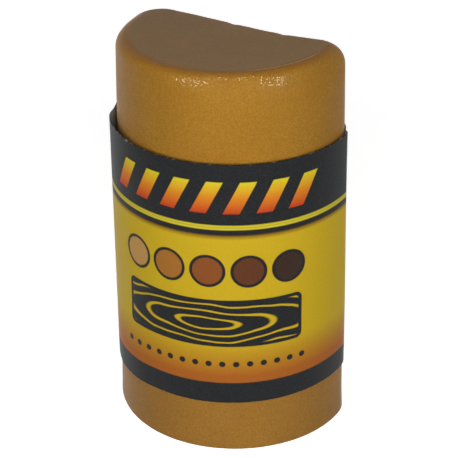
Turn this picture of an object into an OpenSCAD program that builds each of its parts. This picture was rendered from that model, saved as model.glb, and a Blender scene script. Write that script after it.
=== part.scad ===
// Soft wax stick for filling scratches in furniture.
// The wax is cast in a drafted mould: a half-round front, rounded back corners and a
// shallow hollow down the back. It stands on its wide poured face, and the narrower
// mould end with the rounded rim is on top.
// A printed paper band goes round the wax. Its ends are glued together in a lap at the
// back, and it is not stuck to the wax, so it slides up and off over the narrow end.
// Millimetres, +Z up, the half-round front faces -Y, origin at the bottom centre.

/* [Wax stick] */
// Width of the stick across its poured face
stick_w = 32; // [24:0.5:44]
// Height of the stick
stick_h = 53.6; // [48:0.2:80]
// Radius of the back corners, which is how far the back lies behind the half-round
corner_r = 5; // [4.2:0.1:9]
// Depth of the hollow down the back
hollow_d = 0.6; // [0.2:0.1:2]
// Lean of the walls in degrees, inwards from the poured face to the rounded end
draft = 0.9; // [0.3:0.1:1.5]
// Radius of the rim round the top face
rim_r = 2.4; // [0.5:0.1:3]
// Edge break round the poured face
base_break = 0.3; // [0.1:0.1:1]

/* [Paper band] */
// Height of the band
band_h = 35; // [20:0.5:40]
// Height of the band's lower edge above the poured face
band_z = 7.4; // [2:0.2:10]
// Thickness of the paper
paper_t = 0.15; // [0.1:0.05:0.5]
// Looseness round the wax at the band's lower edge, where it is tightest
band_gap = 0.12; // [0.1:0.02:1]
// Width of the lap where the band's two ends are glued together
lap_w = 9; // [4:0.5:16]
// Length over which the outer end climbs onto the inner end
lap_ramp = 1.5; // [0.5:0.1:2.5]

/* [Seam glue] */
// Thickness of the glue film in the lap
glue_t = 0.1; // [0.05:0.05:0.3]
// Bare margin between the glue film and the edges of the lap
glue_margin = 0.8; // [0.2:0.1:1.5]

/* [Hidden] */

// Steps that each round stretch is divided into
front_steps = 48;
corner_steps = 14;
hollow_steps = 10;
rim_steps = 6;

// Plan of the stick, about the centre of the half-round front
front_r = stick_w / 2;
corner_x = front_r - corner_r;
hollow_r = (corner_x ^ 2 + (corner_r - hollow_d) ^ 2 - corner_r ^ 2) / (2 * hollow_d);
hollow_y = corner_r - hollow_d + hollow_r;
hollow_a = atan(corner_x / hollow_y);

// How far the leaning wall has come in at a height
function lean(z) = z * tan(draft);

// Centre of the rim's section, which meets the leaning wall and the top face
rim_z = stick_h - rim_r;
rim_in = lean(rim_z) + rim_r / cos(draft);

// Inside of the band, and the rise of its outer end over the inner one
band_front_r = front_r - lean(band_z) + band_gap;
band_corner_r = corner_r - lean(band_z) + band_gap;
lap_rise = paper_t + glue_t;
lap_edge = lap_w / 2;

// Place of the half-round's centre that puts the origin in the middle of the depth
front_y = (band_front_r - band_corner_r - lap_rise) / 2;

// Points along an arc, without its last point
function arc(centre, r, from, to, steps) = [
    for (i = [0 : steps - 1])
        let (a = from + (to - from) * i / steps)
        centre + r * [cos(a), sin(a)]
];

function reversed(list) = [for (i = [len(list) - 1 : -1 : 0]) list[i]];

// Closed outline of the wax where its wall has come in by a given inset
function wax_outline(inset) = concat(
    arc([0, 0], front_r - inset, 180, 360, front_steps),
    arc([corner_x, 0], corner_r - inset, 0, 90 + hollow_a, corner_steps),
    arc([0, hollow_y], hollow_r + inset, 270 + hollow_a, 270 - hollow_a, hollow_steps),
    arc([-corner_x, 0], corner_r - inset, 90 - hollow_a, 180, corner_steps)
);

// Inset and height up the wall, from the edge break to the start of the top face
rim_section = [
    for (i = [0 : rim_steps])
        let (a = draft + (90 - draft) * i / rim_steps)
        [rim_in - rim_r * cos(a), rim_z + rim_r * sin(a)]
];
wall_section = concat([[base_break, 0], [lean(base_break), base_break]], rim_section);

// The wax is lofted through its outlines, with the poured face and the top face flat
module wax_stick() {
    rings = [for (s = wall_section) [for (p = wax_outline(s[0])) [p[0], p[1] + front_y, s[1]]]];
    count = len(rings[0]);
    top = (len(rings) - 1) * count;
    walls = [
        for (start = [0 : count : top - 1])
            for (i = [0 : count - 1])
                let (next = (i + 1) % count)
                [start + i, start + count + i, start + count + next, start + next]
    ];
    poured_face = [for (i = [0 : count - 1]) i];
    top_face = reversed([for (i = [0 : count - 1]) top + i]);
    color("#a97a2e")
        polyhedron([for (ring = rings) each ring], concat(walls, [poured_face, top_face]));
}

// One side of the paper in plan, from the inner end round the wax to the lapped outer end
function paper_side(out) = concat(
    [[lap_edge, band_corner_r + out]],
    arc([-corner_x, 0], band_corner_r + out, 90, 180, corner_steps),
    arc([0, 0], band_front_r + out, 180, 360, front_steps),
    arc([corner_x, 0], band_corner_r + out, 0, 90, corner_steps),
    [
        [corner_x, band_corner_r + out],
        [lap_edge + lap_ramp, band_corner_r + out],
        [lap_edge, band_corner_r + lap_rise + out],
        [-lap_edge, band_corner_r + lap_rise + out]
    ]
);

module paper_band() {
    color("#e0b427") translate([0, front_y, band_z]) linear_extrude(height = band_h)
        polygon(concat(paper_side(0), reversed(paper_side(paper_t))));
}

// The glue fills the space between the two lapped ends
module seam_glue() {
    film_y = front_y + band_corner_r + paper_t;
    film_w = lap_w - 2 * glue_margin;
    film_h = band_h - 2 * glue_margin;
    color("#efe9d8") translate([-film_w / 2, film_y, band_z + glue_margin])
        cube([film_w, glue_t, film_h]);
}

wax_stick();
paper_band();
seam_glue();
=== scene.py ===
# %% [markdown]
# # A wax stick for furniture repairs
# The object is a block of soft coloured wax, cast in a mould, with a printed paper band round
# it. It is rubbed over a scratch in a table or a door until the wax fills the scratch.
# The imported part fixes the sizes, the places and what moves. This lesson gives the same pieces
# their looks, in metres and in the same frame: +Z is up, the half-round front faces -Y, and the
# stick stands on its poured face.

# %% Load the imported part
import math

import bpy
from mathutils import Matrix, Vector, noise


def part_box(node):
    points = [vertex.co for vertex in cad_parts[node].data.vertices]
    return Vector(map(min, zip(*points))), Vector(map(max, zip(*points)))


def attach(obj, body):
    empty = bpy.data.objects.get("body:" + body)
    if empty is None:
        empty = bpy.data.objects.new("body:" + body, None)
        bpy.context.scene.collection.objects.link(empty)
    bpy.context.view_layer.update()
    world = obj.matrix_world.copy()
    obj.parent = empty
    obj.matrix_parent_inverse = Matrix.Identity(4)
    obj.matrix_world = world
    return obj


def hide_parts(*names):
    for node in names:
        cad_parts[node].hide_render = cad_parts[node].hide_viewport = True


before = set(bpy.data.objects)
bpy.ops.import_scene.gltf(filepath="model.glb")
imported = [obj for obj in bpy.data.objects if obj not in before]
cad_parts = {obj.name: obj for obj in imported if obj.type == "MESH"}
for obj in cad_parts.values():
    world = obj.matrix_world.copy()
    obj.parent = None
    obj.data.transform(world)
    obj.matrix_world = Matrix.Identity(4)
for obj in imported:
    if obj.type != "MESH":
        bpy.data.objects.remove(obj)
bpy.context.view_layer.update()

print("packed pieces:", ", ".join(sorted(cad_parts)))

# %% [markdown]
# ## Sizes
# A piece that stands for a packed one has to lie exactly where that one lies. So its sizes are
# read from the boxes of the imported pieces, and change with them. A box can't show a radius or a
# slope: those few are written here once more, in millimetres, as a maker writes them. Only the
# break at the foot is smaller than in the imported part, because poured wax has a sharp edge.

# %% Read the sizes
MM = 0.001

stick_low, stick_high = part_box("wax_stick")
band_low, band_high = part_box("paper_band")
glue_low, glue_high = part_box("seam_glue")

stick_h = stick_high.z
front_r = (stick_high.x - stick_low.x) / 2
corner_r = stick_high.y - stick_low.y - front_r
corner_x = front_r - corner_r
front_y = stick_low.y + front_r
hollow_d = 0.6 * MM
draft = math.radians(0.9)
rim_r = 2.4 * MM
base_break = 0.1 * MM

band_h = band_high.z - band_low.z
glue_t = glue_high.y - glue_low.y
paper_t = band_high.y - glue_high.y
band_front_r = band_high.x - paper_t
band_corner_r = glue_low.y - paper_t - front_y
lap_edge = 4.5 * MM
lap_ramp = 1.5 * MM

print(f"stick {front_r / MM * 2:.2f} wide, {stick_h / MM:.2f} high, corners {corner_r / MM:.2f} mm")
print(f"band {band_h / MM:.2f} high, paper {paper_t / MM:.3f}, glue {glue_t / MM:.3f} mm")

# %% [markdown]
# ## Camera
# A product photograph is taken from a little way off, with a long lens. The camera here stands
# where the outline of the stick and the edges of its band agree with such a picture. It could
# be aimed with a constraint, but three measured angles and a distance say it more plainly: the
# camera's own axes are worked out from them and become the columns of its matrix.

# %% Set up the camera
IMAGE_W = 458
FOCAL_PX = 1761.6
CAMERA_AZIMUTH = 28.82
CAMERA_ELEVATION = 28.67
CAMERA_ROLL = -0.48
CAMERA_DISTANCE = 232.2 * MM
AIM_HEIGHT = 27.4 * MM
AIM_SIDE = 1.85 * MM


def direction(azimuth, elevation):
    """The way from the object to a camera or a lamp; azimuth 0 stands in front, at -Y."""
    across = math.radians(azimuth)
    up = math.radians(elevation)
    return Vector((math.sin(across) * math.cos(up), -math.cos(across) * math.cos(up), math.sin(up)))


def make_camera():
    back = direction(CAMERA_AZIMUTH, CAMERA_ELEVATION)
    level = Vector((0, 0, 1)).cross(back).normalized()
    tilt = Matrix.Rotation(math.radians(CAMERA_ROLL), 3, back)
    aim = Vector((0, (stick_low.y + stick_high.y) / 2, AIM_HEIGHT)) + AIM_SIDE * level
    right = tilt @ level
    axes = Matrix((right, back.cross(right), back)).transposed()
    camera = bpy.data.objects.new("camera", bpy.data.cameras.new("camera"))
    camera.data.lens = FOCAL_PX * camera.data.sensor_width / IMAGE_W
    camera.matrix_world = Matrix.Translation(aim + back * CAMERA_DISTANCE) @ axes.to_4x4()
    bpy.context.collection.objects.link(camera)
    return camera


bpy.context.scene.camera = make_camera()
print(f"lens {bpy.context.scene.camera.data.lens:.1f} mm")

# %% [markdown]
# ## Writing finishes as sums
# A shader made by hand is a net of small boxes, which is hard to read back. Here a socket is
# wrapped in a class, so that sums on surface values are written as Python and add the Math nodes
# themselves. Every other node comes from one method, which takes the node's type, its settings
# and its sockets. Colours are written as they look on a screen, and turned into linear light.

# %% The helper classes


class Wire:
    """The output of a node. A sum with wires adds Math nodes."""

    def __init__(self, finish, socket):
        self.finish = finish
        self.socket = socket

    def other(self, output):
        """Another output of the same node."""
        return Wire(self.finish, self.socket.node.outputs[output])

    def math(self, operation, *values, clamp=False):
        settings = {"operation": operation, "use_clamp": clamp}
        return self.finish.node("ShaderNodeMath", settings, dict(enumerate((self, *values))))

    def swapped(self, operation, value):
        return self.finish.node("ShaderNodeMath", {"operation": operation}, {0: value, 1: self})

    def __add__(self, value):
        return self.math("ADD", value)

    def __sub__(self, value):
        return self.math("SUBTRACT", value)

    def __rsub__(self, value):
        return self.swapped("SUBTRACT", value)

    def __mul__(self, value):
        return self.math("MULTIPLY", value)

    def __truediv__(self, value):
        return self.math("DIVIDE", value)

    def __pow__(self, value):
        return self.math("POWER", value)

    def __mod__(self, value):
        return self.math("FLOORED_MODULO", value)

    def __abs__(self):
        return self.math("ABSOLUTE")

    __radd__ = __add__
    __rmul__ = __mul__

    def rise(self, start, stop):
        """0 at the start and before it, 1 at the stop and past it."""
        return self.math("MULTIPLY_ADD", 1 / (stop - start), start / (start - stop), clamp=True)

    def over(self, edge, soft):
        """0 under the edge and 1 over it, with a soft border."""
        return self.rise(edge - soft / 2, edge + soft / 2)


class Finish:
    """The node tree of a material or a world, built node by node."""

    def __init__(self, owner):
        owner.use_nodes = True
        self.owner = owner
        self.tree = owner.node_tree
        self.tree.nodes.clear()

    def node(self, kind, settings, sockets, output=0):
        made = self.tree.nodes.new(kind)
        for name, value in settings.items():
            if name == "stops":
                self.set_stops(made.color_ramp, value)
            elif name == "interpolation":
                made.color_ramp.interpolation = value
            else:
                setattr(made, name, value)
        for key, value in sockets.items():
            if isinstance(value, Wire):
                self.tree.links.new(value.socket, made.inputs[key])
            else:
                made.inputs[key].default_value = value
        return Wire(self, made.outputs[output]) if made.outputs else None

    def set_stops(self, ramp, stops):
        while len(ramp.elements) < len(stops):
            ramp.elements.new(1)
        for element, (place, colour) in zip(ramp.elements, stops):
            element.position = place
            element.color = colour

    def mix(self, mask, under, over):
        """A colour where the mask is 0, and another where it is 1."""
        return self.node("ShaderNodeMix", {"data_type": "RGBA"}, {0: mask, 6: under, 7: over}, 2)

    def vector(self, operation, place, other, output="Vector"):
        """A sum on places, which gives another place or a length."""
        return self.node("ShaderNodeVectorMath", {"operation": operation}, {0: place, 1: other}, output)

    def blotches(self, place, size, detail=2):
        """Values about one half in soft patches of a size."""
        sockets = {"Vector": place, "Scale": 1 / size, "Detail": detail}
        return self.node("ShaderNodeTexNoise", {}, sockets)

    def surface(self, sockets):
        shader = self.node("ShaderNodeBsdfPrincipled", {}, sockets)
        self.node("ShaderNodeOutputMaterial", {}, {"Surface": shader})
        return self.owner


def screen(red, green, blue):
    """A colour as its three screen values from 0 to 255."""
    return (*(((c / 255 + 0.055) / 1.055) ** 2.4 for c in (red, green, blue)), 1)


def new_finish(name):
    return Finish(bpy.data.materials.new(name))


print("a middle grey in linear light:", [round(c, 3) for c in screen(128, 128, 128)[:3]])

# %% [markdown]
# ## The wax stick
# The stick is cast in a drafted mould: a half-round front, two round corners and a shallow
# hollow at the back, with a round rim about the upper face. It could be carved from a block with
# bevels, but the outline is all arcs, so it is lofted: the same outline is repeated at each
# height, moved in along its own normals. The rim is tighter over the front, and at the right a
# soft shoulder leads up to it, so each side has a section of its own. Noise along the normals
# gives the swells of a casting and small lumps at the rim, and the block leans by a hair.

# %% Arcs and lofts


def arc(centre, radius, start, stop, steps):
    """Points of an arc in plan, each with the way out; a radius below 0 gives a hollow."""
    path = []
    for step in range(steps):
        angle = math.radians(start + (stop - start) * step / steps)
        out = Vector((math.cos(angle), math.sin(angle), 0))
        path.append((Vector(centre) + radius * out, out))
    return path


def ring_faces(rings, count, closed):
    """Four-sided faces between rings of points that follow each other in one list."""
    faces = []
    for ring in range(rings - 1):
        for step in range(count if closed else count - 1):
            a = ring * count + step
            b = ring * count + (step + 1) % count
            faces.append((a, b, b + count, a + count))
    return faces


def eased(value, start, stop):
    """0 before the start and 1 past the stop, with a soft turn at both."""
    share = min(1, max(0, (value - start) / (stop - start)))
    return share * share * (3 - 2 * share)


def add_piece(name, points, faces, smooth_angle):
    mesh = bpy.data.meshes.new(name)
    mesh.from_pydata(points, [], faces)
    mesh.validate()
    mesh.shade_smooth()
    mesh.set_sharp_from_angle(angle=math.radians(smooth_angle))
    piece = bpy.data.objects.new(name, mesh)
    bpy.context.collection.objects.link(piece)
    return piece


quarter = arc((0, 0, 0), 1, 0, 90, 3)
print("a quarter in 3 steps:", [(round(p.x, 2), round(p.y, 2)) for p, out in quarter])

# %% The plan of the stick
HOLLOW_SWELL = 0.3 * MM
HOLLOW_SWELL_W = 5 * MM
HUMP_X = -5 * MM
DIP_X = 6 * MM

hollow_r = (corner_x**2 + (corner_r - hollow_d) ** 2 - corner_r**2) / (2 * hollow_d)
hollow_y = corner_r - hollow_d + hollow_r
hollow_a = math.degrees(math.atan(corner_x / hollow_y))

stick_plan = (
    arc((0, front_y, 0), front_r, 180, 360, 150)
    + arc((corner_x, front_y, 0), corner_r, 0, 90 + hollow_a, 44)
    + arc((0, front_y + hollow_y, 0), -hollow_r, 90 + hollow_a, 90 - hollow_a, 60)
    + arc((-corner_x, front_y, 0), corner_r, 90 - hollow_a, 180, 44)
)


def swell_at(x, middle):
    """1 at the middle of a swell of the back, and less beside it."""
    return math.exp(-(((x - middle) / HOLLOW_SWELL_W) ** 2))


for p, out in stick_plan:
    p.y += HOLLOW_SWELL * (swell_at(p.x, HUMP_X) - swell_at(p.x, DIP_X)) * max(0, out.y)
print(f"plan of {len(stick_plan)} points, hollow radius {hollow_r / MM:.0f} mm")

# %% The section of the wax
LIP = 0.06 * MM
LIP_H = 5 * MM
TIGHT_RIM = 1.3 * MM
TIGHT_WAY = direction(18, 0)
SHOULDER = 0.85 * MM
SHOULDER_WAY = direction(55, 0)
SHOULDER_TURN = math.radians(25)
WALL_RINGS = 64
SHOULDER_RINGS = 8
RIM_RINGS = 16


def arc_section(inset, z, radius, start, stop, steps):
    """Insets, heights and slopes along an arc that turns from the wall towards the top face."""
    section = []
    for step in range(1, steps + 1):
        slope = start + (stop - start) * step / steps
        in_by = inset + radius * (math.cos(start) - math.cos(slope))
        section.append((in_by, z + radius * (math.sin(slope) - math.sin(start)), slope))
    return section


def wax_section(out):
    """Inset, height and slope of the normal, up the wall and over the rim, on one side."""
    rim = rim_r + (TIGHT_RIM - rim_r) * eased(out.dot(TIGHT_WAY), -0.25, 0.6)
    back = SHOULDER * eased(out.dot(SHOULDER_WAY), 0.35, 1)
    soft = rim + back / (1 - math.cos(SHOULDER_TURN))
    turn = SHOULDER_TURN
    wall_top = stick_h - rim * (1 - math.sin(turn)) - soft * (math.sin(turn) - math.sin(draft))
    section = [(base_break - LIP, 0, -math.pi / 2), (base_break * 0.4 - LIP, base_break * 0.15, -1)]
    for step in range(WALL_RINGS):
        z = base_break + (wall_top - base_break) * (step / WALL_RINGS) ** 1.3
        lip = LIP * max(0, 1 - z / LIP_H) ** 2
        section.append((z * math.tan(draft) - lip, z, 0))
    section.append((wall_top * math.tan(draft), wall_top, draft))
    section += arc_section(*section[-1][:2], soft, draft, turn, SHOULDER_RINGS)
    section += arc_section(*section[-1][:2], rim, turn, math.pi / 2, RIM_RINGS)
    return section


print("wax section:", len(wax_section(TIGHT_WAY)), "rings from the foot to the upper face")

# %% Swells, lumps and chips of the casting
SWELL = 0.05 * MM
SWELL_SIZE = 13 * MM
LUMP = 0.03 * MM
LUMP_SIZE = 2.1 * MM
CALM_FOOT = 3 * MM
CHIP_DEPTH = 0.14 * MM
CHIP_SIZE = 0.55 * MM
CHIPS_X = (-1.4 * MM, 5.9 * MM)


def unevenness(place):
    """Height of the cast surface above its true form."""
    near_rim = max(0, 1 - (stick_h - place.z) / (2 * rim_r))
    swell = SWELL * noise.noise(place / SWELL_SIZE) * min(1, place.z / CALM_FOOT)
    return swell + LUMP * noise.noise(place / LUMP_SIZE) * near_rim


def chipped(place):
    """Depth of the small chips on the back edge of the rim."""
    depth = 0
    for chip_x in CHIPS_X:
        apart = Vector((place.x - chip_x, 0, place.z - stick_h)).length / CHIP_SIZE
        depth += CHIP_DEPTH * math.exp(-apart * apart)
    return depth if place.y > front_y else 0


print(f"swells of {SWELL / MM} mm, lumps of {LUMP / MM} mm and {len(CHIPS_X)} chips")

# %% Loft the wax
DISH = 0.35 * MM
TILT = 0.11 * MM * direction(118.82, 0)
FACE_RINGS = 26
stick_middle = Vector((0, (stick_low.y + stick_high.y) / 2, 0))


def poured_face():
    """Rings from the middle of the dished underside to its edge."""
    rings = []
    edge = [p + (LIP - base_break) * out - stick_middle for p, out in stick_plan]
    for step in range(1, FACE_RINGS):
        share = step / FACE_RINGS
        lift = Vector((0, 0, DISH * (1 - share**4)))
        rings.append([stick_middle + p * share + lift for p in edge])
    return rings


def wall_and_rim():
    """Rings up the wall and over the rim, each side along its own section."""
    rings = []
    for level in zip(*[wax_section(out) for p, out in stick_plan]):
        ring = []
        for (p, out), (inset, z, slope) in zip(stick_plan, level):
            place = p - inset * out + Vector((0, 0, z))
            normal = math.cos(slope) * out + math.sin(slope) * Vector((0, 0, 1))
            ring.append(place + (unevenness(place) - chipped(place)) * normal + TILT * z / stick_h)
        rings.append(ring)
    return rings


def upper_face_rings(edge):
    """Rings from the end of the rim to the middle of the upper face."""
    rings = []
    for step in range(1, FACE_RINGS):
        share = 1 - step / FACE_RINGS
        ring = []
        for p in edge:
            place = stick_middle + Vector((p.x, p.y - stick_middle.y, 0)) * share
            place.z = stick_h
            place.z += unevenness(place) + (p.z - stick_h - unevenness(p)) * share**12
            ring.append(place)
        rings.append(ring)
    return rings


def make_stick():
    rings = poured_face() + wall_and_rim()
    rings += upper_face_rings(rings[-1])
    count = len(stick_plan)
    points = [p for ring in rings for p in ring]
    faces = ring_faces(len(rings), count, closed=True)
    last = len(points) - count
    faces.append(tuple(reversed(range(count))))
    faces.append(tuple(range(last, last + count)))
    return add_piece("cast_wax", points, faces, smooth_angle=50)


stick = make_stick()
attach(stick, "stick")
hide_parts("wax_stick")
print(f"wax: {len(stick.data.polygons)} faces")

# %% [markdown]
# ## The finish of the wax
# The wax is a golden brown, coloured through with pigment, so it mottles only slightly. It lets
# a little light in, and fine dust pales it where it turns away. A painted grey sheen, standing for
# the reflection of the white room, dulls the upper face up to the rim, and a painted red glow
# marks the rim's slope where it turns into the shade of the upper face. At the right a painted
# glint line and a painted dark line of shade run between them. The rim is rubbed smooth over the
# front, and small pits break the light there into sparkles. A bitmap would give all this only
# from one side. Patches of several sizes, read from the place in space, give it everywhere and
# without a seam.

# %% Places and patches on the wax
# Middle of the painted grey sheen that stands for the reflection on the upper face.
SHEEN_MIDDLE = Vector((-0.45 * MM, front_y + 0.1 * MM, 0))


class WaxSkin:
    """Places on the cast wax, and the patches that its colour and its relief share."""

    def __init__(self, paint):
        normal = paint.node("ShaderNodeNewGeometry", {}, {}, "Normal")
        self.paint = paint
        self.place = paint.node("ShaderNodeTexCoord", {}, {}, "Object")
        self.height = paint.node("ShaderNodeSeparateXYZ", {}, {0: self.place}, "Z")
        self.level = paint.node("ShaderNodeSeparateXYZ", {}, {0: normal}, "Z")
        self.far = paint.vector("DISTANCE", self.scaled(1, 0), SHEEN_MIDDLE, "Value")
        self.drawn = self.scaled(1, 0.06)
        self.clouds = paint.blotches(self.place, 7 * MM, 3)
        self.streaks = paint.blotches(self.drawn, 0.8 * MM, 2)
        self.grain = paint.blotches(self.place, 0.4 * MM, 3)
        self.fine = paint.blotches(self.place, 0.19 * MM, 2)

    def scaled(self, across, up):
        """The place with its level part and its height scaled, which draws patches out."""
        return self.paint.vector("MULTIPLY", self.place, (across, across, up))

    def towards(self, way):
        """How far the place lies along a way."""
        return self.paint.vector("DOT_PRODUCT", self.place, way, "Value")


print("the painted_sheen spreads about", [round(c / MM, 2) for c in SHEEN_MIDDLE], "mm")

# %% The colour of the wax
WAX_DEEP = screen(166, 117, 36)
WAX_GOLD = screen(174, 124, 39)
WAX_STREAK = screen(190, 139, 46)
WAX_PALE = screen(192, 142, 52)
WAX_DARK = screen(124, 84, 30)
WAX_SPECK = screen(128, 84, 22)
WAX_HAIR = screen(214, 168, 84)
FOOT_DUST = screen(150, 118, 150)
FOOT_RISE = 3 * MM


def wax_colour(paint, skin):
    """The mottled gold of the wall, with faint seams, hairs, specks and a dusty foot."""
    seams = 1 - abs(paint.blotches(skin.drawn, 2.5 * MM, 0) - 0.5).rise(0.004, 0.02)
    hairs = 1 - abs(paint.blotches(skin.scaled(0.08, 1), 0.9 * MM, 1) - 0.5).rise(0.01, 0.04)
    specks = paint.blotches(skin.place, 0.9 * MM, 1).over(0.8, 0.04)
    foot = 1 - skin.height.rise(band_low.z, band_low.z + FOOT_RISE)

    colour = paint.mix(skin.clouds.rise(0.3, 0.7), WAX_DEEP, WAX_GOLD)
    colour = paint.mix(skin.streaks.rise(0.3, 0.8) * 0.14, colour, WAX_STREAK)
    colour = paint.mix(skin.grain.rise(0.35, 0.7) * 0.36, colour, WAX_PALE)
    colour = paint.mix(skin.fine.rise(0.35, 0.65) * 0.4, colour, WAX_DARK)
    colour = paint.mix(seams * 0.05, colour, WAX_SPECK)
    colour = paint.mix(hairs * skin.clouds.rise(0.5, 0.65) * 0.06, colour, WAX_HAIR)
    colour = paint.mix(specks * 0.3, colour, WAX_SPECK)
    return paint.mix(foot * 0.04, colour, FOOT_DUST)


print("gold of the wall in linear light:", [round(c, 3) for c in WAX_GOLD[:3]])

# %% The upper face of the wax
# Where the upper face ends: the painted grey sheen stops here, and the painted edge lines lie on it.
SHEEN_EDGE_R = 13.2 * MM
SHEEN_FADE = 0.4 * MM
PAINTED_REFLECTION_GREY = screen(160, 166, 168)
# A painted red glow of light at the edge of the shade, on the rim's slope.
PAINTED_SHADE_EDGE_RED = screen(168, 100, 38)
# Painted shade and a painted glint: a dark line and a bright broken line at the upper face's edge, on
# the right.
EDGE_LINES_WAY = direction(60, 0)
EDGE_LINES_STEP = 0.1 * MM
PAINTED_GLINT_GOLD = screen(240, 184, 96)
PAINTED_SHADE_BROWN = screen(96, 64, 36)


def upper_face(paint, skin, colour):
    """Adds the painted grey sheen for the upper face's reflection, a painted red shade edge on the rim,
    and painted shade and glint lines.
    """
    ragged = skin.far + skin.grain * SHEEN_FADE
    # Painted reflection: a grey sheen on faces that look up, inside the upper face's edge.
    painted_reflection = skin.level.rise(0.96, 0.995) * (1 - ragged.rise(SHEEN_EDGE_R, SHEEN_EDGE_R + SHEEN_FADE))
    # Painted light: the rim's slope reddens where it turns into the upper face's shade.
    colour = paint.mix(skin.level.rise(0.55, 0.85) * (1 - painted_reflection) * 0.25, colour, PAINTED_SHADE_EDGE_RED)
    colour = paint.mix(painted_reflection * (0.045 + 0.11 * skin.grain), colour, PAINTED_REFLECTION_GREY)

    # Painted shade just inside the edge, and a painted broken glint just outside it.
    edge_lines_side = skin.towards(EDGE_LINES_WAY).rise(0.56 * front_r, 0.61 * front_r) * skin.level.rise(0.9, 0.96)
    edge = skin.far.rise(SHEEN_EDGE_R, SHEEN_EDGE_R + EDGE_LINES_STEP)
    painted_shade_line = skin.far.rise(SHEEN_EDGE_R - 2 * EDGE_LINES_STEP, SHEEN_EDGE_R - EDGE_LINES_STEP) * (1 - edge)
    painted_glint_line = edge * (1 - skin.far.rise(SHEEN_EDGE_R + 2 * EDGE_LINES_STEP, SHEEN_EDGE_R + 3 * EDGE_LINES_STEP))
    colour = paint.mix(painted_shade_line * edge_lines_side * 0.5, colour, PAINTED_SHADE_BROWN)
    return paint.mix(painted_glint_line * edge_lines_side * skin.fine.rise(0.3, 0.6) * 0.85, colour, PAINTED_GLINT_GOLD)


print(f"painted_sheen {SHEEN_EDGE_R * 2 / MM:.1f} mm across, burr {2 * EDGE_LINES_STEP / MM:.1f} mm wide")

# %% Make the wax finish
RUBBED_WAY = direction(28, 0)


def rubbed_rim(skin):
    """Where the rim is worn smooth: just below the upper face, over the front."""
    begun = skin.height.rise(stick_h - 2.6 * MM, stick_h - 1.2 * MM)
    ended = skin.height.rise(stick_h - 0.35 * MM, stick_h)
    return begun * (1 - ended) * skin.towards(RUBBED_WAY).rise(0.4 * front_r, 0.55 * front_r)


def wax_relief(paint, skin, rubbed):
    """The grain of the mould all over, and pits in the rubbed rim."""
    pits = paint.blotches(skin.place, 0.36 * MM, 0) + paint.blotches(skin.place, 0.22 * MM, 0)
    ripples = paint.blotches(skin.place, 1.6 * MM)
    relief = skin.grain * 0.6 + ripples * 1.2 + skin.streaks * 0.1 + pits * rubbed * 1.7
    sockets = {"Strength": 0.5, "Distance": 0.06 * MM, "Height": relief}
    return paint.node("ShaderNodeBump", {}, sockets, "Normal")


def wax_finish():
    paint = new_finish("golden_wax")
    skin = WaxSkin(paint)
    rubbed = rubbed_rim(skin)
    return paint.surface({
        "Base Color": upper_face(paint, skin, wax_colour(paint, skin)),
        "Roughness": 0.43 + skin.clouds * 0.1 - rubbed * 0.34,
        "Normal": wax_relief(paint, skin, rubbed),
        "Specular IOR Level": 0.1,
        "Specular Tint": (1, 0.88, 0.58, 1),
        "Sheen Weight": 0.05,
        "Sheen Roughness": 0.55,
        "Sheen Tint": (0.8, 0.85, 1, 1),
        "Subsurface Weight": 0.12,
        "Subsurface Radius": (1.0, 0.45, 0.12),
        "Subsurface Scale": 1.2 * MM,
    })


stick.data.materials.append(wax_finish())
print("wax finish:", len(stick.data.materials[0].node_tree.nodes), "nodes")

# %% [markdown]
# ## The paper band
# The band is one strip of paper. It starts under the lap at the back, goes round the left
# corner, the front and the right corner, and climbs over its own start, where it is glued. A
# solidified plane would do, but here the two faces are wanted apart: print outside and along
# the cut, which takes the print's colours, and bare paper inside. So both faces are made as
# grids and joined along the border. The strip sits a little loose and askew, as a band that was
# pushed on by hand.

# %% The path of the strip
STEP = 0.5 * MM
back_y = front_y + band_corner_r
lap_y = back_y + paper_t + glue_t


def straight(start_x, stop_x, start_y, stop_y):
    """Points along the flat back, easing from one depth to another."""
    steps = max(3, round(abs(stop_x - start_x) / STEP))
    path = []
    for step in range(steps):
        share = step / steps
        x = start_x + (stop_x - start_x) * share
        y = start_y + (stop_y - start_y) * eased(share, 0, 1)
        path.append((Vector((x, y, 0)), Vector((0, 1, 0))))
    return path


strip_path = (
    straight(lap_edge, -corner_x, back_y, back_y)
    + arc((-corner_x, front_y, 0), band_corner_r, 90, 180, 24)
    + arc((0, front_y, 0), band_front_r, 180, 360, 120)
    + arc((corner_x, front_y, 0), band_corner_r, 0, 90, 24)
    + straight(corner_x, lap_edge + lap_ramp, back_y, back_y)
    + straight(lap_edge + lap_ramp, lap_edge, back_y, lap_y)
    + straight(lap_edge, -lap_edge, lap_y, lap_y)
    + [(Vector((-lap_edge, lap_y, 0)), Vector((0, 1, 0)))]
)

strip_points = [p for p, out in strip_path]
along = [0]
for a, b in zip(strip_points, strip_points[1:]):
    along.append(along[-1] + (b - a).length)
front_at = min(range(len(strip_points)), key=lambda i: strip_points[i].y)
print(f"strip {along[-1] / MM:.1f} x {band_h / MM:.1f} mm, {len(strip_path)} points long")

# %% How the strip sits on the wax
ROWS = 36
LEAN_LOW = 0.06 * MM
LEAN_HIGH = 0.12 * MM
SKEW = 0.22 * MM
WAVE = 0.03 * MM
WAVE_SIZE = 8 * MM
WAVES_UP = 4
CLING_LEFT = 0.57 * MM
CLING_LEFT_START = -0.09
CLING_RIGHT = 0.45 * MM
CLING_RIGHT_START = -0.36
CLING_WAY = Vector((-0.48, 0.877, 0))
CLING_TURN = 0.18
FLARE = 0.25 * MM


def cling(p, out, share):
    """How far the upper edge is drawn in to the narrower wax at the two back corners."""
    depth, start = (CLING_LEFT, CLING_LEFT_START) if p.x < 0 else (CLING_RIGHT, CLING_RIGHT_START)
    corner = eased(out.dot(CLING_WAY), start, start + CLING_TURN)
    beside_lap = eased(abs(p.x), lap_edge + lap_ramp, corner_x)
    return depth * corner * beside_lap * share * share


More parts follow.
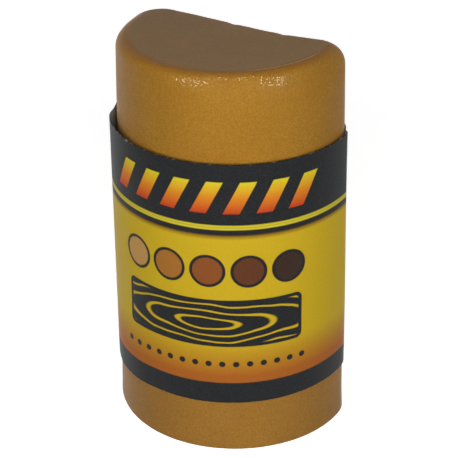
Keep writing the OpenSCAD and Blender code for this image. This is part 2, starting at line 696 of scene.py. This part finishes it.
def flare(out, share):
    """How far the lower edge stands off the wax, left of the front."""
    left = eased(-out.x, 0.15, 0.45) * (1 - eased(-out.x, 0.62, 0.85))
    return FLARE * left * (1 - eased(share, 0.05, 0.4)) if out.y < 0 else 0


def strip_point(step, row, depth):
    """A point of the strip: depth 0 is its inner face and 1 its outer face."""
    p, out = strip_path[step]
    share = row / ROWS
    place = p + depth * paper_t * out
    place.z = band_low.z + band_h * share
    free = max(0, 1 - max(0, out.y) * 1.5)
    bend = noise.noise(Vector((along[step] / WAVE_SIZE, share * WAVES_UP, 0)))
    wave = WAVE * bend * (0.4 + 0.6 * share)
    place += (max(0, wave) * free + flare(out, share) - cling(p, out, share)) * out
    place.x -= LEAN_LOW + (LEAN_HIGH - LEAN_LOW) * share
    place.z += SKEW * p.x / front_r * (1 - share) * free
    return place


print("front of the strip at", [round(c / MM, 2) for c in strip_point(front_at, ROWS, 1)], "mm")

# %% Make the strip


def make_band():
    count = len(strip_path)
    rows = ROWS + 1
    points = []
    for depth in (1, 0):
        for row in range(rows):
            points += [strip_point(step, row, depth) for step in range(count)]
    outer = ring_faces(rows, count, closed=False)
    inner = len(points) // 2
    cut = []
    for step in range(count - 1):
        top = ROWS * count + step
        cut.append((step + 1, step, inner + step, inner + step + 1))
        cut.append((top, top + 1, inner + top + 1, inner + top))
    for row in range(ROWS):
        low, high = row * count, (row + 1) * count
        cut.append((low, high, inner + high, inner + low))
        low, high = low + count - 1, high + count - 1
        cut.append((high, low, inner + low, inner + high))
    faces = outer + [tuple(inner + i for i in reversed(face)) for face in outer] + cut
    band = add_piece("paper_strip", points, faces, smooth_angle=40)
    for index, face in enumerate(band.data.polygons):
        face.material_index = 1 if len(outer) <= index < 2 * len(outer) else 0
    return band


def map_print(band):
    """Gives each point its place on the flat strip, in millimetres from the front and the foot."""
    flat = band.data.attributes.new("print_place", "FLOAT_VECTOR", "POINT")
    count = len(strip_path)
    for index, item in enumerate(flat.data):
        row, step = divmod(index % (count * (ROWS + 1)), count)
        item.vector = ((along[step] - along[front_at]) / MM, row / ROWS * band_h / MM, 0)


band = make_band()
map_print(band)
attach(band, "band")
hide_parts("paper_band")
print(f"band: {len(band.data.polygons)} faces")

# %% [markdown]
# ## The print
# The strip is printed in black, yellow and orange: a black head with a row of slanted bars that
# glow from yellow to red, a thin double line, a yellow field that warms to orange at its foot,
# and a black hem. The field shows a row of wood tones and a board with its grain, which say what
# the stick is for without a word. It could be painted as an image. Here each shape is a sum
# on the place on the flat strip, in millimetres, so its edges stay sharp at any distance.

# %% Shapes of the print
BLEED = 0.09


class Sheet:
    """Places on the flat strip, with the shapes that a printer puts there."""

    def __init__(self, paint):
        self.flat = paint.node("ShaderNodeAttribute", {"attribute_name": "print_place"}, {}, "Vector")
        self.across = paint.node("ShaderNodeSeparateXYZ", {}, {0: self.flat})
        self.up = self.across.other(1)

    def between(self, value, low, high, soft=BLEED):
        return value.over(low, soft) * (1 - value.over(high, soft))

    def disc(self, x, y, radius):
        far = (x * x + y * y) ** 0.5
        return 1 - far.over(radius, BLEED)

    def plate(self, x, y, width, height, corner):
        """A plate with round corners about a centre."""
        side = (abs(x) - (width / 2 - corner)).math("MAXIMUM", 0)
        head = (abs(y) - (height / 2 - corner)).math("MAXIMUM", 0)
        return self.disc(side, head, corner)


print("ink edges are soft over", BLEED, "mm")

# %% The grounds and lines of the print
BLACK = screen(25, 27, 30)
HEM_BLACK = screen(30, 32, 35)
YELLOW = screen(209, 176, 32)
ORANGE = screen(178, 101, 35)
LINE_YELLOW = screen(218, 204, 44)
LINE_CORE = screen(196, 172, 66)
EMBER = screen(96, 44, 16)
HEAD_LOW = 26.58
LINE_LOW = 25.92
RULE_LOW = 25.17
HEM_HIGH = 3.12
FADE_HIGH = 9.4
FADE_LOW = 4.2


def grounds(paint, sheet):
    up = sheet.up + (paint.blotches(sheet.flat, 3) - 0.5) * 0.05
    warm = (0 - up).rise(-FADE_HIGH, -FADE_LOW)
    ink = paint.mix(warm, YELLOW, ORANGE)
    ink = paint.mix(up.rise(RULE_LOW - 0.7, RULE_LOW + 0.1), ink, EMBER)
    ink = paint.mix(up.over(RULE_LOW, 0.25), ink, BLACK)
    ink = paint.mix(sheet.between(up, LINE_LOW, HEAD_LOW, 0.16), ink, LINE_YELLOW)
    ink = paint.mix(sheet.between(up, LINE_LOW + 0.24, HEAD_LOW - 0.2, 0.12) * 0.8, ink, LINE_CORE)
    return paint.mix(up.over(HEM_HIGH, 0.14), HEM_BLACK, ink)


print("black head", band_h / MM - HEAD_LOW, "mm high, hem", HEM_HIGH, "mm")

# %% The slanted bars
MOTIF_X = 4.5
BAR_PITCH = 4.2
BAR_W = 2.1
BAR_LOW = 28.2
BAR_HIGH = 32.6
BAR_SLANT = 0.5
BAR_GLOW = [(0, screen(196, 62, 30)), (0.45, screen(222, 130, 34)), (1, screen(224, 206, 40))]
BARS = 7


def repeats(x, pitch, copies):
    """Place from the middle of the nearest copy, the copy's number, and where the copies are."""
    start = x + pitch * copies / 2
    number = (start / pitch).math("FLOOR")
    present = number.over(-0.5, 0.1) * (1 - number.over(copies - 0.5, 0.1))
    return start % pitch - pitch / 2, number, present


def glowing_bars(paint, sheet, ink):
    slanted = sheet.across - MOTIF_X - (sheet.up - (BAR_LOW + BAR_HIGH) / 2) * BAR_SLANT
    x, number, present = repeats(slanted, BAR_PITCH, BARS)
    bar = (1 - abs(x).over(BAR_W / 2, BLEED)) * present * sheet.between(sheet.up, BAR_LOW, BAR_HIGH)
    glow = paint.node("ShaderNodeValToRGB", {"stops": BAR_GLOW}, {0: sheet.up.rise(BAR_LOW, BAR_HIGH)})
    return paint.mix(bar, ink, glow)


print(BARS, "bars,", BAR_HIGH - BAR_LOW, "mm high")

# %% The wood tones
TONE_Y = 19.9
TONE_R = 1.95
TONE_LINE = 0.4
TONE_PITCH = 5.3
TONES = (
    screen(196, 150, 84),
    screen(170, 112, 44),
    screen(140, 80, 36),
    screen(96, 54, 30),
    screen(52, 34, 26),
)


def wood_tones(paint, sheet, ink):
    x, number, present = repeats(sheet.across - MOTIF_X, TONE_PITCH, len(TONES))
    y = sheet.up - TONE_Y
    stops = [(max(0, index - 0.5) / len(TONES), tone) for index, tone in enumerate(TONES)]
    settings = {"stops": stops, "interpolation": "CONSTANT"}
    tone = paint.node("ShaderNodeValToRGB", settings, {0: number / len(TONES)})
    ink = paint.mix(sheet.disc(x, y, TONE_R + TONE_LINE) * present, ink, BLACK)
    return paint.mix(sheet.disc(x, y, TONE_R) * present, ink, tone)


print(len(TONES), "wood tones from light to dark")

# %% The board and the dots
BOARD_Y = 12.2
BOARD_W = 25
BOARD_H = 7
BOARD_FRAME = 1
GRAIN_PITCH = 0.95
GRAIN_LINE = 0.11
GRAIN_STRETCH = 5
DOT_Y = 6
DOT_R = 0.42
DOT_PITCH = 1.8
DOTS = 15


def grained_board(paint, sheet, ink):
    x = sheet.across - MOTIF_X
    y = sheet.up - BOARD_Y
    wander = paint.blotches(sheet.flat, 6, 1) * 1.3
    drawn = x / GRAIN_STRETCH
    ring = (drawn * drawn + y * y) ** 0.5 + wander
    line = 1 - abs(ring % GRAIN_PITCH - GRAIN_PITCH / 2).over(GRAIN_LINE, BLEED)
    inner = sheet.plate(x, y, BOARD_W - BOARD_FRAME, BOARD_H - BOARD_FRAME, 0.5)
    board = sheet.plate(x, y, BOARD_W, BOARD_H, 0.9) * (1 - line * inner)
    return paint.mix(board, ink, BLACK)


def dotted_line(paint, sheet, ink):
    x, number, present = repeats(sheet.across - MOTIF_X, DOT_PITCH, DOTS)
    return paint.mix(sheet.disc(x, sheet.up - DOT_Y, DOT_R) * present, ink, BLACK)


print("a board of", BOARD_W, "x", BOARD_H, "mm and", DOTS, "dots")

# %% [markdown]
# ## The paper's finish
# The print lies on smooth paper with a slight sheen. Under a glass it has a fine tooth, the ink
# is never quite even, and it is rubbed off where the cut edge was bent. The inner face is bare
# paper, rougher, and made grey, darker than bare paper, which partly paints the shade of the gap
# behind the band.

# %% The printed side
NICK_X = -7.9
NICK_R = 0.17
BARE = screen(150, 142, 130)
FIBRE = screen(225, 215, 190)


def paper_tooth(paint, place, strength):
    fibres = paint.blotches(place, 0.16 * MM, 3)
    sockets = {"Strength": strength, "Distance": 0.02 * MM, "Height": fibres}
    return fibres, paint.node("ShaderNodeBump", {}, sockets, "Normal")


def printed_finish():
    paint = new_finish("printed_paper")
    sheet = Sheet(paint)
    place = paint.node("ShaderNodeTexCoord", {}, {}, "Object")
    fibres, bump = paper_tooth(paint, place, 0.25)

    ink = grounds(paint, sheet)
    for motif in (glowing_bars, wood_tones, grained_board, dotted_line):
        ink = motif(paint, sheet, ink)
    ink = paint.mix(paint.blotches(sheet.flat, 0.35, 3).rise(0.4, 0.75) * 0.06, ink, BLACK)
    ink = paint.mix(fibres.rise(0.45, 0.8) * 0.03, ink, FIBRE)

    top = band_h / MM
    edge = abs(sheet.up - top / 2) - top / 2
    rubbed = (paint.blotches(sheet.flat, 0.9, 3) * 0.6 - 0.36 + edge).over(0, 0.1)
    nick = sheet.disc((sheet.across - NICK_X) * 0.6, sheet.up - top, NICK_R)
    ink = paint.mix(rubbed.math("MAXIMUM", nick), ink, BARE)
    return paint.surface({
        "Base Color": ink,
        "Roughness": 0.42 + fibres * 0.12,
        "Diffuse Roughness": 0.15,
        "Normal": bump,
        "Specular IOR Level": 0.1,
    })


band.data.materials.append(printed_finish())
print("print:", len(band.data.materials[0].node_tree.nodes), "nodes")

# %% The bare side and the glue
# The inner face's greys are darker than bare paper: partly its own tone, partly painted shade of the gap
# behind the band.
PAPER_AND_SHADE_DARK = screen(150, 146, 139)
PAPER_AND_SHADE_PALE = screen(172, 168, 160)
GLUE_DARK = screen(206, 196, 168)
GLUE_PALE = screen(228, 220, 198)


def bare_finish():
    paint = new_finish("bare_paper")
    place = paint.node("ShaderNodeTexCoord", {}, {}, "Object")
    fibres, bump = paper_tooth(paint, place, 0.5)
    colour = paint.mix(fibres.rise(0.3, 0.7), PAPER_AND_SHADE_DARK, PAPER_AND_SHADE_PALE)
    return paint.surface({"Base Color": colour, "Roughness": 0.7 + fibres * 0.15, "Normal": bump})


def glue_finish():
    paint = new_finish("dry_glue")
    place = paint.node("ShaderNodeTexCoord", {}, {}, "Object")
    streaks = paint.blotches(place, 0.8 * MM, 3)
    colour = paint.mix(streaks.rise(0.3, 0.7), GLUE_DARK, GLUE_PALE)
    return paint.surface({"Base Color": colour, "Roughness": 0.3 + streaks * 0.2})


band.data.materials.append(bare_finish())
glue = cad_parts["seam_glue"]
glue.data.materials.clear()
glue.data.materials.append(glue_finish())
print("paper finishes:", [slot.name for slot in band.data.materials], "and", glue.data.materials[0].name)

# %% [markdown]
# ## Light and floor
# A small product is lit from the front by a soft box, low enough to leave its upper face in half
# shade. Two boxes behind it, left and right, keep the turned sides from going dark, as the white
# walls of a photo tent do, and a third lights its back. Three small spots give the rim its glints
# and light nothing else. The world and the floor could give all the light, but then the colours
# would look washed out. So they show white to the eye and to reflections, and light the object
# only a little.

# %% Set up the lamps
SPOT_DISTANCE = 0.6


def softbox(name, azimuth, elevation, distance, width, height, level, glossy=False):
    """A lamp beside the camera's azimuth that lights a surface facing it to a level, 1 being full."""
    lamp = bpy.data.lights.new(name, "AREA")
    lamp.shape = "RECTANGLE"
    lamp.size = width
    lamp.size_y = height
    lamp.energy = level * math.pi**2 * distance**2
    box = bpy.data.objects.new(name, lamp)
    way = direction(CAMERA_AZIMUTH + azimuth, elevation)
    box.location = way * distance + Vector((0, 0, stick_h / 2))
    box.rotation_euler = way.to_track_quat("Z", "Y").to_euler()
    box.visible_glossy = glossy
    bpy.context.collection.objects.link(box)


def spot(name, azimuth, elevation, width, height, level):
    """A small far lamp that gives only a glint, and no light of its own."""
    softbox(name, azimuth, elevation, SPOT_DISTANCE, width, height, level, glossy=True)
    bpy.data.objects[name].visible_diffuse = False


softbox("front_box", 0, 20.2, 0.2, 0.1, 0.1, 0.92)
softbox("left_box", -138, 3, 0.6, 0.2, 0.1, 0.4)
softbox("right_box", 138, 3, 0.6, 0.2, 0.1, 0.38)
softbox("back_box", 180, 0, 0.6, 0.2, 0.05, 0.3)
spot("left_spot", -35, 22, 0.04, 0.03, 0.9)
spot("right_spot", 40, 21, 0.04, 0.03, 0.8)
spot("middle_spot", 0, 50, 0.03, 0.03, 0.6)

# %% Make the white room and the floor
SKY_LIGHT = 0.04
WHITE = (1, 1, 1, 1)
FLOOR_HALF = 3
FLOOR_GLOW = (0.8, 0.8, 0.8, 1)
FLOOR_PALE = (0.8, 0.8, 0.8, 1)
FLOOR_DULL = (0.08, 0.08, 0.08, 1)
FLOOR_NEAR = 0.1
FLOOR_FAR = 0.2


def seen(paint):
    """1 for rays of the eye, of reflections and through glass."""
    eye = paint.node("ShaderNodeLightPath", {}, {}, "Is Camera Ray")
    either = eye.math("MAXIMUM", eye.other("Is Glossy Ray"))
    return either.math("MAXIMUM", eye.other("Is Transmission Ray"))


def white_world():
    paint = Finish(bpy.data.worlds.new("white_room"))
    strength = seen(paint) * (1 - SKY_LIGHT) + SKY_LIGHT
    light = paint.node("ShaderNodeBackground", {}, {"Color": WHITE, "Strength": strength})
    paint.node("ShaderNodeOutputWorld", {}, {"Surface": light})
    bpy.context.scene.world = paint.owner


def floor_finish():
    """White to the eye, with the object's shadow, and dull to the light that would bounce up."""
    paint = new_finish("white_floor")
    place = paint.node("ShaderNodeTexCoord", {}, {}, "Object")
    far = paint.vector("DISTANCE", place, (0, 0, 0), "Value")
    shine = paint.mix(far.rise(FLOOR_NEAR, FLOOR_FAR), FLOOR_GLOW, WHITE)
    glow = paint.node("ShaderNodeEmission", {}, {"Color": shine})
    pale = paint.node("ShaderNodeBsdfDiffuse", {}, {"Color": FLOOR_PALE})
    shown = paint.node("ShaderNodeAddShader", {}, {0: glow, 1: pale})
    dull = paint.node("ShaderNodeBsdfDiffuse", {}, {"Color": FLOOR_DULL})
    both = paint.node("ShaderNodeMixShader", {}, {0: seen(paint), 1: dull, 2: shown})
    paint.node("ShaderNodeOutputMaterial", {}, {"Surface": both})
    return paint.owner


def white_floor():
    half = FLOOR_HALF
    mesh = bpy.data.meshes.new("floor")
    corners = [(-half, -half, 0), (half, -half, 0), (half, half, 0), (-half, half, 0)]
    mesh.from_pydata(corners, [], [(0, 1, 2, 3)])
    mesh.materials.append(floor_finish())
    floor = bpy.data.objects.new("floor", mesh)
    bpy.context.collection.objects.link(floor)


white_world()
white_floor()
bpy.context.scene.view_settings.view_transform = "Standard"
print("world:", bpy.context.scene.world.name, "and a floor of", 2 * FLOOR_HALF, "m")
